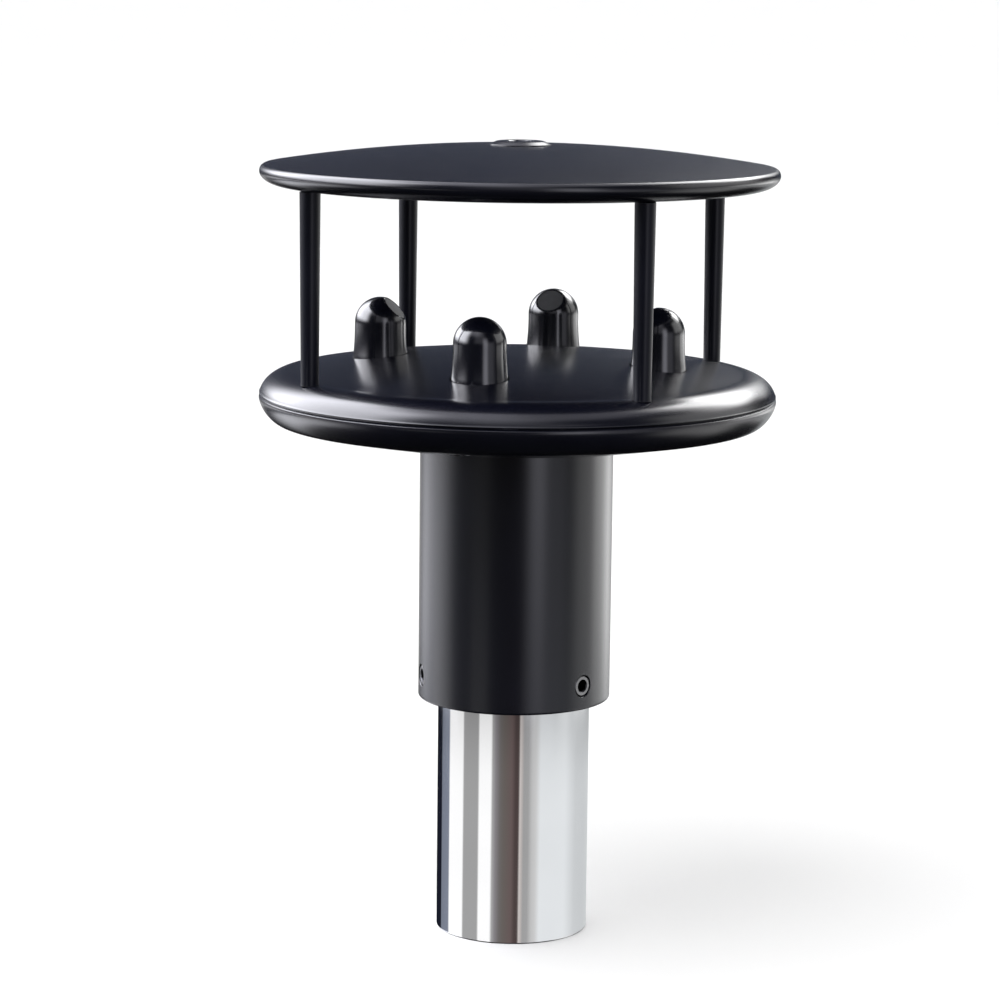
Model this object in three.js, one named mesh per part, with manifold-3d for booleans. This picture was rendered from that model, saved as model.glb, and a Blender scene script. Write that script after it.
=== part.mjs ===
// Solid-state two-axis wind sensor on the top end of its mast tube.
// Millimetres, +Z up, origin at the centre of the tube's lower end.
import * as THREE from "three";
import { mergeVertices } from "three/addons/utils/BufferGeometryUtils.js";
import Module from "manifold-3d";

// Mast tube
const TUBE_R = 21.1;
const TUBE_WALL = 2;
const TUBE_TOP = 111;
const TUBE_EDGE = 0.5;

// Neck: clamp socket below, dry wiring bore above, web between them
const NECK_R = 26.7;
const NECK_BOTTOM = 66;
const NECK_TOP = 139.3;
const NECK_EDGE = 0.6;
const SOCKET_R = 21.4;
const WEB_BOTTOM = 111.3;
const WEB_TOP = 115.3;
const WEB_HOLE_R = 9.3;
const BORE_R = 15;
const SPIGOT_R = 19.2;
const SPIGOT_GROOVE_R = 17.7;
const SPIGOT_GROOVE_TOP = 140.9;
const SPIGOT_TOP = 142.8;

// Clamping set screws, M6, point against the tube and end nearly flush with the neck
const SET_SCREW_Z = 72.7;
const SET_SCREW_R = 2.9;
const SET_SCREW_POINT_R = 1.9;
const SET_SCREW_POINT = 21.15;
const SET_SCREW_END = 26.4;
const SET_SCREW_FLATS = 3;
const SET_SCREW_GAP = 0.2;
const SET_SCREW_ANGLES = [90, 210, 330];

// Lower housing: base shell and deck plate meeting at the seam
const RIM_R = 71.05;
const RIM_Z = 149.73;
const SEAM_Z = 150.7;
const SEAM_CHAMFER = 0.5;
const DECK_SHOULDER_R = 61.7;
const DECK_SHOULDER_Z = 156.93;
const DECK_APEX_Z = 161.67;
const DECK_WALL = 3.5;
const SHELL_EDGE_R = 66.2;
const SHELL_EDGE_Z = 143.4;
const FLOOR_Z = 143;
const FLOOR_R = 52;
const SHELL_HOLE_R = 19.5;
const CAVITY_R = 66.5;
const SEAM_STEP_R = 68.4;
const SEAM_STEP_Z = 149.3;
const SHELL_BOSS_R = 4.8;
const SHELL_BOSS_TOP = 147.2;
const SHELL_SINK_TOP = 145.4;
const PILLAR_R = 3.2;

// Upper reflector plate and its centre plug
const PLATE_BOTTOM = 207.95;
const PLATE_FLAT_R = 64.7;
const PLATE_RIM_R = 70.9;
const PLATE_RIM_Z = 211.6;
const PLATE_SHOULDER_R = 69.8;
const PLATE_SHOULDER_Z = 213.32;
const PLATE_APEX_Z = 219.22;
const PLUG_R = 8.5;
const PLUG_BOTTOM = 213.5;
const PLUG_EDGE_Z = 219.2;
const PLUG_TOP_R = 6.4;
const PLUG_TOP = 220.1;
const PLUG_FLATS = 6;

// Four posts carrying the plate
const POST_RADIUS = 63.9;
const POST_FOOT_Z = 156.4;
const POST_FOOT_R = 2.4;
const POST_HEAD_R = 2.8;
const POST_STUD_TOP = 212.1;
const POST_TAP_TOP = 165.5;
const POST_ANGLES = [45, 135, 225, 315];

// Four transducer pods
const POD_RADIUS = 39.5;
const POD_ANGLES = [0, 90, 180, 270];
const POD_R = 7.1;
const POD_SEAT_Z = 158.6;
const POD_FLANGE_R = 7.8;
const POD_FLANGE_Z = 161.1;
const POD_CENTRE_Z = 168.9;
const POD_FACE = 5.9;
const POD_STEM_R = 5;
const POD_STEM_BOTTOM = 150.2;
const POD_PAD_Z = 155;
const POD_PAD_R = 9.5;
const POD_GROOVE_R = 6.6;
const POD_GROOVE_TOP = 159.7;
const POD_POCKET_R = 3.3;
const POD_BORE_R = 3.6;
const FACE_R = 3.1;
const FACE_DEPTH = 1.3;
const PIEZO_R = 3;
const PIEZO_DEPTH = 3.3;
const POD_NUT_HEIGHT = 3.4;
const POD_NUT_FLATS = 14;

// Electronics
const BOARD_BOTTOM = 145.2;
const BOARD_TOP = 146.8;
const BOARD_INNER_R = 28;
const BOARD_OUTER_R = 52;
const CONNECTOR_BOTTOM = 101;
const CONNECTOR_TOP = 120;
const CONNECTOR_R = 9;
const CONNECTOR_WALL = 1.3;
const CONNECTOR_COLLAR_R = 12;
const CONNECTOR_COLLAR_Z = 108.8;
const CONNECTOR_NUT_FLATS = 22;
const CONNECTOR_NUT_HEIGHT = 3.5;
const INSERT_R = 7.4;
const INSERT_BOTTOM = 106;
const INSERT_TOP = 119;
const PIN_R = 0.5;
const PIN_CIRCLE_R = 4.6;
const PIN_BOTTOM = 102.5;
const PIN_TOP = 121.5;

// Screws: shank radius, head radius and head height
const M3_R = 1.45;
const M3_HEAD_R = 2.75;
const M3_HEAD = 3;
const M3_LOW_HEAD = 2.2;
const M4_R = 1.95;
const M4_HEAD_R = 3.5;
const M4_HEAD = 4;
const TAP_GAP = 0.15;
const NECK_SCREW_RADIUS = 22.9;
const SHELL_SCREW_RADIUS = 60;
const BOARD_SCREW_RADIUS = 44;
const BOARD_SCREW_ANGLES = [45, 165, 285];

// Facets around large, medium and small round pieces
const LARGE = 32;
const MEDIUM = 14;
const SMALL = 8;

const wasm = await Module();
wasm.setup();

const radians = (degrees) => (degrees * Math.PI) / 180;

// Turns a three.js geometry into a solid for cutting and joining.
function solid(geometry) {
  geometry.deleteAttribute("normal");
  geometry.deleteAttribute("uv");
  const merged = mergeVertices(geometry, 1e-4);
  return new wasm.Manifold(new wasm.Mesh({
    numProp: 3,
    vertProperties: merged.attributes.position.array,
    triVerts: new Uint32Array(merged.index.array),
  }));
}

// Revolves [radius, height] points about the vertical axis.
function turned(profile, segments) {
  const points = profile.map(([r, z]) => new THREE.Vector2(r, z));
  return new THREE.LatheGeometry(points, segments).rotateX(Math.PI / 2);
}

// Revolved ring: the profile is closed on itself.
function ring(profile, segments) {
  return turned([...profile, profile[0]], segments);
}

// Plain upright rod between two heights.
function rod(radius, bottom, top, segments) {
  return turned([[0, bottom], [radius, bottom], [radius, top], [0, top]], segments);
}

// Upright hexagonal prism given by its width across flats.
function hexRod(flats, bottom, top) {
  return rod(flats / Math.sqrt(3), bottom, top, 6);
}

// O-ring lying flat.
function oRing(radius, section, z, segments) {
  return new THREE.TorusGeometry(radius, section, 5, segments).translate(0, 0, z);
}

// Rounded wire along a smooth path.
function wire(points, radius) {
  const path = new THREE.CatmullRomCurve3(points.map((p) => new THREE.Vector3(...p)));
  const circle = new THREE.Shape();
  circle.absarc(0, 0, radius, 0, 2 * Math.PI, false);
  return new THREE.ExtrudeGeometry(circle, {
    steps: 12, curveSegments: 3, bevelEnabled: false, extrudePath: path,
  });
}

// Points along part of a superellipse quadrant centred on (r, z).
function bend(r, z, a, b, power, from, to, count) {
  return Array.from({ length: count + 1 }, (_, i) => {
    const t = radians(from + ((to - from) * i) / count);
    const c = Math.cos(t);
    const s = Math.sin(t);
    return [
      r + a * Math.sign(c) * Math.abs(c) ** (2 / power),
      z + b * Math.sign(s) * Math.abs(s) ** (2 / power),
    ];
  });
}

// Shallow dome from its edge in to the axis.
function dome(edgeR, edgeZ, apexZ, count) {
  return Array.from({ length: count }, (_, i) => {
    const r = edgeR * (1 - (i + 1) / count);
    return [r, apexZ - (apexZ - edgeZ) * (r / edgeR) ** 2];
  });
}

// Height of the deck's upper surface.
const deckHeight = (r) =>
  DECK_APEX_Z - (DECK_APEX_Z - DECK_SHOULDER_Z) * (r / DECK_SHOULDER_R) ** 2;

// Cap-head screw, head down or up, with a hexagon socket in the head.
function capScrew(shankR, length, headR, headH) {
  const body = turned([
    [0, 0], [headR, 0], [headR, headH], [shankR, headH],
    [shankR, headH + length], [0, headH + length],
  ], SMALL);
  return solid(body).subtract(solid(hexRod(headR, -1, headH * 0.55)));
}

// Position at a radius and angle.
const polar = (radius, degrees, z) => [
  radius * Math.cos(radians(degrees)),
  radius * Math.sin(radians(degrees)),
  z,
];

// Copies a solid to a polar position, turned to face along that angle.
function placed(body, radius, degrees, z) {
  return body.rotate([0, 0, degrees]).translate(polar(radius, degrees, z));
}

// Takes tools away from a body, or adds extras to it.
const cut = (body, tools) => tools.reduce((left, tool) => left.subtract(tool), body);
const join = (body, extras) => extras.reduce((sum, extra) => sum.add(extra), body);

const part = new THREE.Group();
part.name = "wind_sensor";

// Adds one named piece with its own material.
function piece(name, body, [colour, roughness, metalness]) {
  const data = body.getMesh();
  const geometry = new THREE.BufferGeometry();
  const corners = new Float32Array(data.vertProperties);
  const triangles = new Uint32Array(data.triVerts);
  geometry.setAttribute("position", new THREE.BufferAttribute(corners, 3));
  geometry.setIndex(new THREE.BufferAttribute(triangles, 1));
  geometry.computeVertexNormals();
  const material = new THREE.MeshStandardMaterial({ color: colour, roughness, metalness });
  material.name = name;
  const mesh = new THREE.Mesh(geometry, material);
  mesh.name = name;
  part.add(mesh);
}

const COATED = [0x2b2e38, 0.32, 0.3];
const STAINLESS = [0xc9cbce, 0.15, 1];
const FASTENER = [0xb4b6b9, 0.3, 1];
const DARK_STEEL = [0x87888a, 0.4, 1];
const SEAL = [0x141414, 0.7, 0];
const NICKEL = [0xa9a79f, 0.3, 1];

// --- Mast tube -------------------------------------------------------------
const tubeInner = TUBE_R - TUBE_WALL;
piece("mast_tube", solid(ring([
  [tubeInner + TUBE_EDGE, 0], [TUBE_R - TUBE_EDGE, 0], [TUBE_R, TUBE_EDGE],
  [TUBE_R, TUBE_TOP - TUBE_EDGE], [TUBE_R - TUBE_EDGE, TUBE_TOP],
  [tubeInner, TUBE_TOP], [tubeInner, TUBE_EDGE],
], LARGE)), STAINLESS);

// --- Neck ------------------------------------------------------------------
const neckBody = solid(ring([
  [SOCKET_R + NECK_EDGE, NECK_BOTTOM],
  ...bend(NECK_R - NECK_EDGE, NECK_BOTTOM + NECK_EDGE, NECK_EDGE, NECK_EDGE, 2, -90, 0, 3),
  [NECK_R, NECK_TOP], [SPIGOT_GROOVE_R, NECK_TOP], [SPIGOT_GROOVE_R, SPIGOT_GROOVE_TOP],
  [SPIGOT_R, SPIGOT_GROOVE_TOP], [SPIGOT_R, SPIGOT_TOP], [BORE_R, SPIGOT_TOP],
  [BORE_R, WEB_TOP], [WEB_HOLE_R, WEB_TOP], [WEB_HOLE_R, WEB_BOTTOM],
  [SOCKET_R, WEB_BOTTOM], [SOCKET_R, NECK_BOTTOM + NECK_EDGE],
], LARGE));
const setScrewHoleR = SET_SCREW_R + SET_SCREW_GAP;
const setScrewHole = solid(turned([
  [0, SOCKET_R - 3], [setScrewHoleR, SOCKET_R - 3], [setScrewHoleR, SET_SCREW_END],
  [setScrewHoleR + 1, SET_SCREW_END + 1], [0, SET_SCREW_END + 1],
], MEDIUM)).rotate([0, 90, 0]);
const neckScrewHole = solid(rod(M4_R + TAP_GAP, NECK_TOP - 9.3, NECK_TOP + 1, SMALL));
piece("neck", cut(neckBody, [
  ...SET_SCREW_ANGLES.map((a) => placed(setScrewHole, 0, a, SET_SCREW_Z)),
  ...POD_ANGLES.map((a) => placed(neckScrewHole, NECK_SCREW_RADIUS, a, 0)),
]), COATED);

// Socket set screw lying along +X
const setScrew = cut(solid(turned([
  [0, SET_SCREW_POINT], [SET_SCREW_POINT_R, SET_SCREW_POINT],
  [SET_SCREW_R, SET_SCREW_POINT + SET_SCREW_R - SET_SCREW_POINT_R],
  [SET_SCREW_R, SET_SCREW_END - 0.3], [SET_SCREW_R - 0.3, SET_SCREW_END],
  [0, SET_SCREW_END],
], MEDIUM)), [
  solid(hexRod(SET_SCREW_FLATS, SET_SCREW_END - 2.7, SET_SCREW_END + 1)),
]).rotate([0, 90, 0]);
SET_SCREW_ANGLES.forEach((a, i) => {
  piece(`set_screw_${i + 1}`, placed(setScrew, 0, a, SET_SCREW_Z), DARK_STEEL);
});

const NECK_SEAL_SECTION = 0.7;
piece("neck_oring", solid(oRing(
  SPIGOT_GROOVE_R + 0.15 + NECK_SEAL_SECTION, NECK_SEAL_SECTION,
  NECK_TOP + 0.05 + NECK_SEAL_SECTION, LARGE)), SEAL);

// --- Base shell --------------------------------------------------------------
const shellBody = solid(ring([
  [SHELL_HOLE_R, NECK_TOP], [30, NECK_TOP], [49.5, NECK_TOP + 1],
  ...bend(SHELL_EDGE_R, RIM_Z, RIM_R - SHELL_EDGE_R, RIM_Z - SHELL_EDGE_Z, 1.5, -90, 0, 5),
  [RIM_R - 0.05, SEAM_Z - SEAM_CHAMFER], [RIM_R - 0.05 - SEAM_CHAMFER, SEAM_Z],
  [SEAM_STEP_R, SEAM_Z], [SEAM_STEP_R, SEAM_STEP_Z], [CAVITY_R, SEAM_STEP_Z],
  [CAVITY_R, SEAM_STEP_Z - 1.3], [CAVITY_R - 3, FLOOR_Z + 1.8],
  [FLOOR_R, FLOOR_Z], [SHELL_HOLE_R, FLOOR_Z],
], LARGE));
const shellBoss = solid(rod(SHELL_BOSS_R, FLOOR_Z + 0.3, SHELL_BOSS_TOP, MEDIUM));
const sinkR = M3_HEAD_R + 0.35;
const clearanceR = M3_R + 0.25;
const shellBossHole = solid(turned([
  [0, NECK_TOP], [sinkR, NECK_TOP], [sinkR, SHELL_SINK_TOP],
  [clearanceR, SHELL_SINK_TOP], [clearanceR, SHELL_BOSS_TOP + 1], [0, SHELL_BOSS_TOP + 1],
], SMALL));
const boardPillar = solid(rod(PILLAR_R, FLOOR_Z - 0.5, BOARD_BOTTOM, SMALL));
const boardPillarHole = solid(rod(M3_R + TAP_GAP, FLOOR_Z - 1.6, BOARD_BOTTOM + 1, SMALL));
const neckScrewClearance = solid(rod(M4_R + 0.3, NECK_TOP - 1, FLOOR_Z + 1, SMALL));
const shellWithBosses = join(shellBody, [
  ...POD_ANGLES.map((a) => placed(shellBoss, SHELL_SCREW_RADIUS, a, 0)),
  ...BOARD_SCREW_ANGLES.map((a) => placed(boardPillar, BOARD_SCREW_RADIUS, a, 0)),
]);
piece("base_shell", cut(shellWithBosses, [
  ...POD_ANGLES.map((a) => placed(shellBossHole, SHELL_SCREW_RADIUS, a, 0)),
  ...BOARD_SCREW_ANGLES.map((a) => placed(boardPillarHole, BOARD_SCREW_RADIUS, a, 0)),
  ...POD_ANGLES.map((a) => placed(neckScrewClearance, NECK_SCREW_RADIUS, a, 0)),
]), COATED);

const SEAM_SEAL_SECTION = 0.6;
piece("seam_oring", solid(oRing(
  SEAM_STEP_R - 0.45 - SEAM_SEAL_SECTION, SEAM_SEAL_SECTION,
  SEAM_STEP_Z + 0.05 + SEAM_SEAL_SECTION, LARGE)), SEAL);

// --- Deck plate --------------------------------------------------------------
const deckLining = [0, 24, 42, 58].map((r) => [r, deckHeight(r) - DECK_WALL]);
const deckCurve = bend(
  DECK_SHOULDER_R, RIM_Z, RIM_R - DECK_SHOULDER_R, DECK_SHOULDER_Z - RIM_Z, 2.1, 0, 90, 7);
const deckBody = solid(turned([
  ...deckLining, [60.5, 153.4], [63.2, 152.2], [63.2, SEAM_Z - 3],
  [CAVITY_R - 0.3, SEAM_Z - 3], [CAVITY_R - 0.3, SEAM_Z],
  [RIM_R - 0.1 - SEAM_CHAMFER, SEAM_Z], [RIM_R - 0.15, SEAM_Z + SEAM_CHAMFER],
  ...deckCurve.filter(([, z]) => z > SEAM_Z + SEAM_CHAMFER + 0.3),
  ...dome(DECK_SHOULDER_R, DECK_SHOULDER_Z, DECK_APEX_Z, 5),
], LARGE));
const podPad = solid(rod(POD_PAD_R, POD_PAD_Z, POD_SEAT_Z - 0.2, MEDIUM));
const deckBoss = solid(rod(4.5, SHELL_BOSS_TOP + 0.3, 155.8, MEDIUM));
const deckBossHole = solid(rod(M3_R + TAP_GAP, SHELL_BOSS_TOP - 1, 155.2, SMALL));
const ABOVE_DECK = 165;
const podSeat = join(solid(rod(POD_FLANGE_R + 0.3, POD_SEAT_Z, ABOVE_DECK, MEDIUM)), [
  solid(rod(POD_STEM_R + 0.3, POD_STEM_BOTTOM, ABOVE_DECK, MEDIUM)),
]);
const POST_SCREW_SEAT = 153.8;
const postSeat = join(solid(rod(POST_FOOT_R + 0.3, POST_FOOT_Z, ABOVE_DECK, SMALL)), [
  solid(rod(clearanceR, POST_SCREW_SEAT - 1, ABOVE_DECK, SMALL)),
  solid(rod(PILLAR_R, SEAM_Z - 4, POST_SCREW_SEAT, SMALL)),
]);
const deckWithBosses = join(deckBody, [
  ...POD_ANGLES.map((a) => placed(podPad, POD_RADIUS, a, 0)),
  ...POD_ANGLES.map((a) => placed(deckBoss, SHELL_SCREW_RADIUS, a, 0)),
]);
piece("deck_plate", cut(deckWithBosses, [
  ...POD_ANGLES.map((a) => placed(podSeat, POD_RADIUS, a, 0)),
  ...POD_ANGLES.map((a) => placed(deckBossHole, SHELL_SCREW_RADIUS, a, 0)),
  ...POST_ANGLES.map((a) => placed(postSeat, POST_RADIUS, a, 0)),
]), COATED);

// --- Posts, each with a stud into the plate and a tapped foot ------------------
const post = cut(solid(turned([
  [0, POST_FOOT_Z], [POST_FOOT_R, POST_FOOT_Z], [POST_HEAD_R, PLATE_BOTTOM],
  [M4_R, PLATE_BOTTOM], [M4_R, POST_STUD_TOP - 0.4], [M4_R - 0.4, POST_STUD_TOP],
  [0, POST_STUD_TOP],
], MEDIUM)), [solid(rod(M3_R + TAP_GAP, POST_FOOT_Z - 1, POST_TAP_TOP, SMALL))]);
const postScrew = capScrew(M3_R, 11, M3_HEAD_R, M3_HEAD);
POST_ANGLES.forEach((a, i) => {
  piece(`post_${i + 1}`, placed(post, POST_RADIUS, a, 0), COATED);
  const seated = placed(postScrew, POST_RADIUS, a, POST_SCREW_SEAT - M3_HEAD);
  piece(`post_screw_${i + 1}`, seated, FASTENER);
});

// --- Upper plate and plug ------------------------------------------------------
const plateBody = solid(turned([
  [0, PLATE_BOTTOM],
  ...bend(PLATE_FLAT_R, PLATE_RIM_Z, PLATE_RIM_R - PLATE_FLAT_R, PLATE_RIM_Z - PLATE_BOTTOM,
    2, -90, 0, 5),
  [PLATE_RIM_R - 0.25, PLATE_RIM_Z + 0.9],
  [PLATE_SHOULDER_R, PLATE_SHOULDER_Z],
  ...dome(PLATE_SHOULDER_R, PLATE_SHOULDER_Z, PLATE_APEX_Z, 5),
], LARGE));
const studHole = solid(rod(M4_R + 0.3, PLATE_BOTTOM - 1, POST_STUD_TOP + 0.4, SMALL));
piece("top_plate", cut(plateBody, [
  solid(rod(PLUG_R + 0.3, PLUG_BOTTOM, PLATE_APEX_Z + 5, MEDIUM)),
  ...POST_ANGLES.map((a) => placed(studHole, POST_RADIUS, a, 0)),
]), COATED);
piece("top_plug", cut(solid(turned([
  [0, PLUG_BOTTOM], [PLUG_R, PLUG_BOTTOM], [PLUG_R, PLUG_EDGE_Z],
  [PLUG_TOP_R, PLUG_TOP], [0, PLUG_TOP],
], MEDIUM)), [solid(hexRod(PLUG_FLATS, PLUG_TOP - 3, PLUG_TOP + 1))]), COATED);

// --- Transducer pods -------------------------------------------------------------
// Each pod stands at its own radius with a flat face looking in and up at 45 degrees.
const podOutline = solid(turned([
  [0, POD_STEM_BOTTOM], [POD_STEM_R, POD_STEM_BOTTOM],
  [POD_STEM_R, POD_GROOVE_TOP], [POD_GROOVE_R, POD_GROOVE_TOP], [POD_GROOVE_R, POD_SEAT_Z],
  [POD_FLANGE_R, POD_SEAT_Z], [POD_FLANGE_R, POD_FLANGE_Z - 0.3],
  [POD_R + 0.1, POD_FLANGE_Z],
  ...bend(0, POD_CENTRE_Z, POD_R, POD_R, 2, 0, 90, 4),
], MEDIUM));
const faceward = (body) => body.rotate([0, -45, 0]).translate([0, 0, POD_CENTRE_Z]);
const podBody = cut(podOutline, [
  faceward(solid(rod(12, POD_FACE, 20, SMALL))),
  faceward(solid(rod(POD_POCKET_R, -1, POD_FACE + 1, MEDIUM))),
  solid(rod(POD_BORE_R, POD_STEM_BOTTOM - 1, POD_CENTRE_Z + 0.5, SMALL)),
]);
const faceBack = POD_FACE - FACE_DEPTH;
const facePlate = faceward(solid(rod(FACE_R, faceBack, POD_FACE - 0.1, MEDIUM)));
const piezo = faceward(solid(rod(PIEZO_R, POD_FACE - PIEZO_DEPTH, faceBack, MEDIUM)));
const podNut = cut(solid(hexRod(POD_NUT_FLATS, POD_PAD_Z - POD_NUT_HEIGHT, POD_PAD_Z)), [
  solid(rod(POD_STEM_R + TAP_GAP, POD_PAD_Z - 5, POD_PAD_Z + 2, MEDIUM)),
]);
const POD_SEAL_SECTION = 0.5;
const podRing = solid(oRing(
  POD_STEM_R + 0.25 + POD_SEAL_SECTION, POD_SEAL_SECTION,
  POD_SEAT_Z + 0.05 + POD_SEAL_SECTION, MEDIUM));
const LEAD_R = 0.7;
const lead = solid(wire([
  [-0.7, 0, 169.9], [0.4, 0, 165], [0, 0, 155], [-0.3, 0, 150.6],
  [-2.6, 0, 148.4], [-6.9, 0, 148.2],
], LEAD_R));
POD_ANGLES.forEach((a, i) => {
  const n = i + 1;
  piece(`transducer_pod_${n}`, placed(podBody, POD_RADIUS, a, 0), COATED);
  piece(`transducer_face_${n}`, placed(facePlate, POD_RADIUS, a, 0), [0x3a3c41, 0.45, 0]);
  piece(`piezo_disc_${n}`, placed(piezo, POD_RADIUS, a, 0), [0xb8a98c, 0.5, 0]);
  piece(`pod_nut_${n}`, placed(podNut, POD_RADIUS, a, 0), NICKEL);
  piece(`pod_oring_${n}`, placed(podRing, POD_RADIUS, a, 0), SEAL);
  piece(`pod_lead_${n}`, placed(lead, POD_RADIUS, a, 0), [0x8c1f1f, 0.5, 0]);
});

// --- Housing screws ----------------------------------------------------------------
const neckScrew = capScrew(M4_R, 12, M4_HEAD_R, M4_HEAD).rotate([180, 0, 0]);
const shellScrew = capScrew(M3_R, 9, M3_HEAD_R, M3_HEAD);
POD_ANGLES.forEach((a, i) => {
  const inNeck = placed(neckScrew, NECK_SCREW_RADIUS, a, FLOOR_Z + M4_HEAD);
  piece(`neck_screw_${i + 1}`, inNeck, FASTENER);
  const inShell = placed(shellScrew, SHELL_SCREW_RADIUS, a, SHELL_SINK_TOP - M3_HEAD);
  piece(`shell_screw_${i + 1}`, inShell, FASTENER);
});

// --- Main board: ring of laminate with its components soldered on --------------------
const block = (w, d, h) => solid(new THREE.BoxGeometry(w, d, h).translate(0, 0, h / 2));
const boardRing = solid(ring([
  [BOARD_INNER_R, BOARD_BOTTOM], [BOARD_OUTER_R, BOARD_BOTTOM],
  [BOARD_OUTER_R, BOARD_TOP], [BOARD_INNER_R, BOARD_TOP],
], LARGE));
const seatOnBoard = (body, radius, angle) => placed(body, radius, angle, BOARD_TOP - 0.1);
const populated = join(boardRing, [
  ...POD_ANGLES.map((a) => seatOnBoard(block(3.4, 6, 2.9), 30.7, a)),
  seatOnBoard(block(6, 10, 5), 32, 225),
  seatOnBoard(block(10, 10, 1.4), 40, 65),
  seatOnBoard(block(6, 5, 1.7), 38, 20),
  seatOnBoard(block(8, 8, 4), 41, 140),
  seatOnBoard(solid(rod(3, 0, 6, SMALL)), 46, 110),
  seatOnBoard(solid(rod(3, 0, 6, SMALL)), 46, 125),
  seatOnBoard(block(5, 4, 1.7), 40, 205),
  seatOnBoard(block(5, 6, 2.2), 44, 245),
  seatOnBoard(block(12, 4, 3.4), 42, 320),
]);
const boardHole = solid(rod(clearanceR, BOARD_BOTTOM - 1, BOARD_TOP + 1, SMALL));
piece("main_board", cut(populated, BOARD_SCREW_ANGLES.map((a) =>
  placed(boardHole, BOARD_SCREW_RADIUS, a, 0))), [0x1f5a38, 0.5, 0]);
const boardScrew = capScrew(M3_R, 4.8, M3_HEAD_R, M3_LOW_HEAD).rotate([180, 0, 0]);
BOARD_SCREW_ANGLES.forEach((a, i) => {
  const seated = placed(boardScrew, BOARD_SCREW_RADIUS, a, BOARD_TOP + M3_LOW_HEAD);
  piece(`board_screw_${i + 1}`, seated, FASTENER);
});

// --- Bulkhead connector in the web, facing down into the tube -------------------------
const connectorInnerR = CONNECTOR_R - CONNECTOR_WALL;
piece("connector_socket", solid(ring([
  [connectorInnerR, CONNECTOR_BOTTOM], [CONNECTOR_R - 0.3, CONNECTOR_BOTTOM],
  [CONNECTOR_R, CONNECTOR_BOTTOM + 0.3], [CONNECTOR_R, CONNECTOR_COLLAR_Z],
  [CONNECTOR_COLLAR_R, CONNECTOR_COLLAR_Z], [CONNECTOR_COLLAR_R, WEB_BOTTOM],
  [CONNECTOR_R, WEB_BOTTOM], [CONNECTOR_R, CONNECTOR_TOP], [connectorInnerR, CONNECTOR_TOP],
], MEDIUM)), NICKEL);
const connectorNut = solid(hexRod(CONNECTOR_NUT_FLATS, WEB_TOP, WEB_TOP + CONNECTOR_NUT_HEIGHT));
piece("connector_nut", cut(connectorNut, [
  solid(rod(CONNECTOR_R + TAP_GAP, WEB_TOP - 1, WEB_TOP + 5, MEDIUM)),
]), NICKEL);
const PIN_COUNT = 7;
const pin = solid(rod(PIN_R, PIN_BOTTOM, PIN_TOP, 6));
piece("connector_insert", join(solid(rod(INSERT_R, INSERT_BOTTOM, INSERT_TOP, MEDIUM)), [
  pin,
  ...Array.from({ length: PIN_COUNT }, (_, i) =>
    placed(pin, PIN_CIRCLE_R, (i * 360) / PIN_COUNT, 0)),
]), [0x1c1c1e, 0.55, 0]);
const LOOM_R = 1.9;
piece("connector_harness", solid(wire([
  [0, 0, 122], [0, 0, 136], [-2.5, -2.5, 146], [-8, -8, 152.2],
  [-15, -15, 154.8], [-21.6, -21.6, 154.8], [-22.6, -22.6, 152.9],
], LOOM_R)), [0x202225, 0.6, 0]);

export default part;
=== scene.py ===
"""Looks of a two-axis ultrasonic wind sensor on its polished mast tube.

Lengths are millimetres until an object is made, and metres from there on.
"""

import math

import bpy
from mathutils import Matrix, Vector


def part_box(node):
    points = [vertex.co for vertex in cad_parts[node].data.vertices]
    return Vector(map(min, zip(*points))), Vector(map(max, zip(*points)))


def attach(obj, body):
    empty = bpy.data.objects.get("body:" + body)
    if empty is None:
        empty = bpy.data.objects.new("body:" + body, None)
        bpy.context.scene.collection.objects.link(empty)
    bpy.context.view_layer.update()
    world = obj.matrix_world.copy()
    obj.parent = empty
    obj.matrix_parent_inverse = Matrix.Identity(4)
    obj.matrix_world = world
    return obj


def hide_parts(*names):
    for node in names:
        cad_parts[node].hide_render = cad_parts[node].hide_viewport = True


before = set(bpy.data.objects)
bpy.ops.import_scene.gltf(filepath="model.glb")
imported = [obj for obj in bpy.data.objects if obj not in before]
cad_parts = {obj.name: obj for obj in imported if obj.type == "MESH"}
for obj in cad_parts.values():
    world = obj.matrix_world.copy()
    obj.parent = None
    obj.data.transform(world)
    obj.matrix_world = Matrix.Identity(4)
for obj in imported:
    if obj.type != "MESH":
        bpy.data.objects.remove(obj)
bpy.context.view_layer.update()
scene = bpy.context.scene

MM = 0.001
CREASE_ANGLE = 32


# --- Sizes read from the frame ---------------------------------------------------------------
def low(node):
    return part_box(node)[0] / MM


def high(node):
    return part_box(node)[1] / MM


def middle(node):
    return (low(node) + high(node)) / 2


TUBE_R = high("mast_tube").x
TUBE_TOP = high("mast_tube").z
TUBE_WALL = 2.0

NECK_R = high("neck").x
NECK_BOTTOM = low("neck").z
SPIGOT_TOP = high("neck").z
SET_SCREW_Z = middle("set_screw_1").z
SET_SCREW_POINT = low("set_screw_1").y
SET_SCREW_END = high("set_screw_1").y
SET_SCREW_R = 2.95
SET_SCREW_HOLE_R = 3.02
SET_SCREW_FLATS = 3
SET_SCREW_ANGLES = (90, 210, 330)
SOCKET_R = 21.4
SPIGOT_R = 19.2
SPIGOT_BORE_R = 15
SPIGOT_GROOVE_R = 17.7
SPIGOT_GROOVE_HEIGHT = 1.6
WEB_BORE_R = 9.3

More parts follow.
